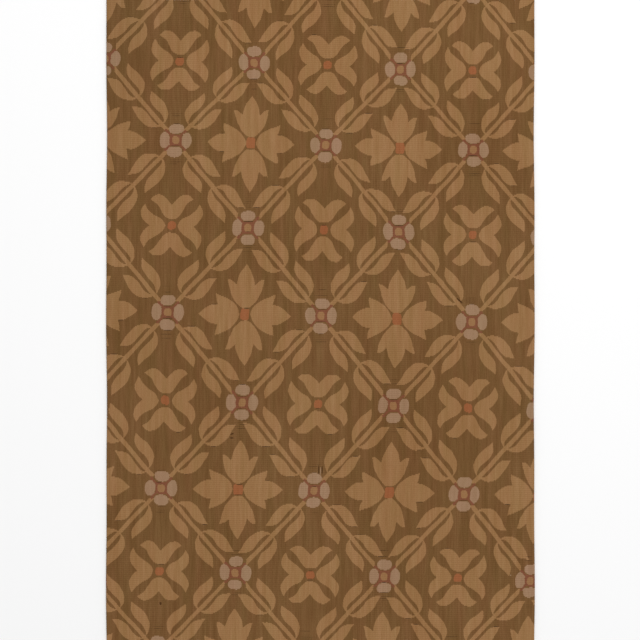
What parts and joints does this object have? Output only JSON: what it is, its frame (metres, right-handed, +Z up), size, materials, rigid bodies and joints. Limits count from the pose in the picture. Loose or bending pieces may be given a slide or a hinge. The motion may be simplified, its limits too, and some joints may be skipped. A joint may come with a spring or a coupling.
{
  "type": "aubusson rug, a cut length of flat-woven tapestry",
  "caption": "Flat cut length of a weft-faced tapestry rug with a leafy trellis of small flowers, lying flat on its plain underside.",
  "frame": {"origin": "middle of the flat underside, on the surface that the rug lies on", "axes": "+Z up out of the face, +Y along the length and across the warps, +X along the warps"},
  "size_m": [0.4812, 0.7208, 0.0032],
  "materials": {
    "ground_wool": "dull brown tapestry wool, weft-faced ribs, faintly streaked",
    "leaf_wool": "dull gold tapestry wool, weft-faced ribs",
    "petal_wool": "dull pinkish beige tapestry wool, weft-faced ribs",
    "outline_wool": "dull dark red-brown tapestry wool, weft-faced ribs",
    "centre_wool": "dull orange tapestry wool, weft-faced ribs"
  },
  "bodies": {
    "root": {"rug": "ground_wool"}
  },
  "joints": []
}
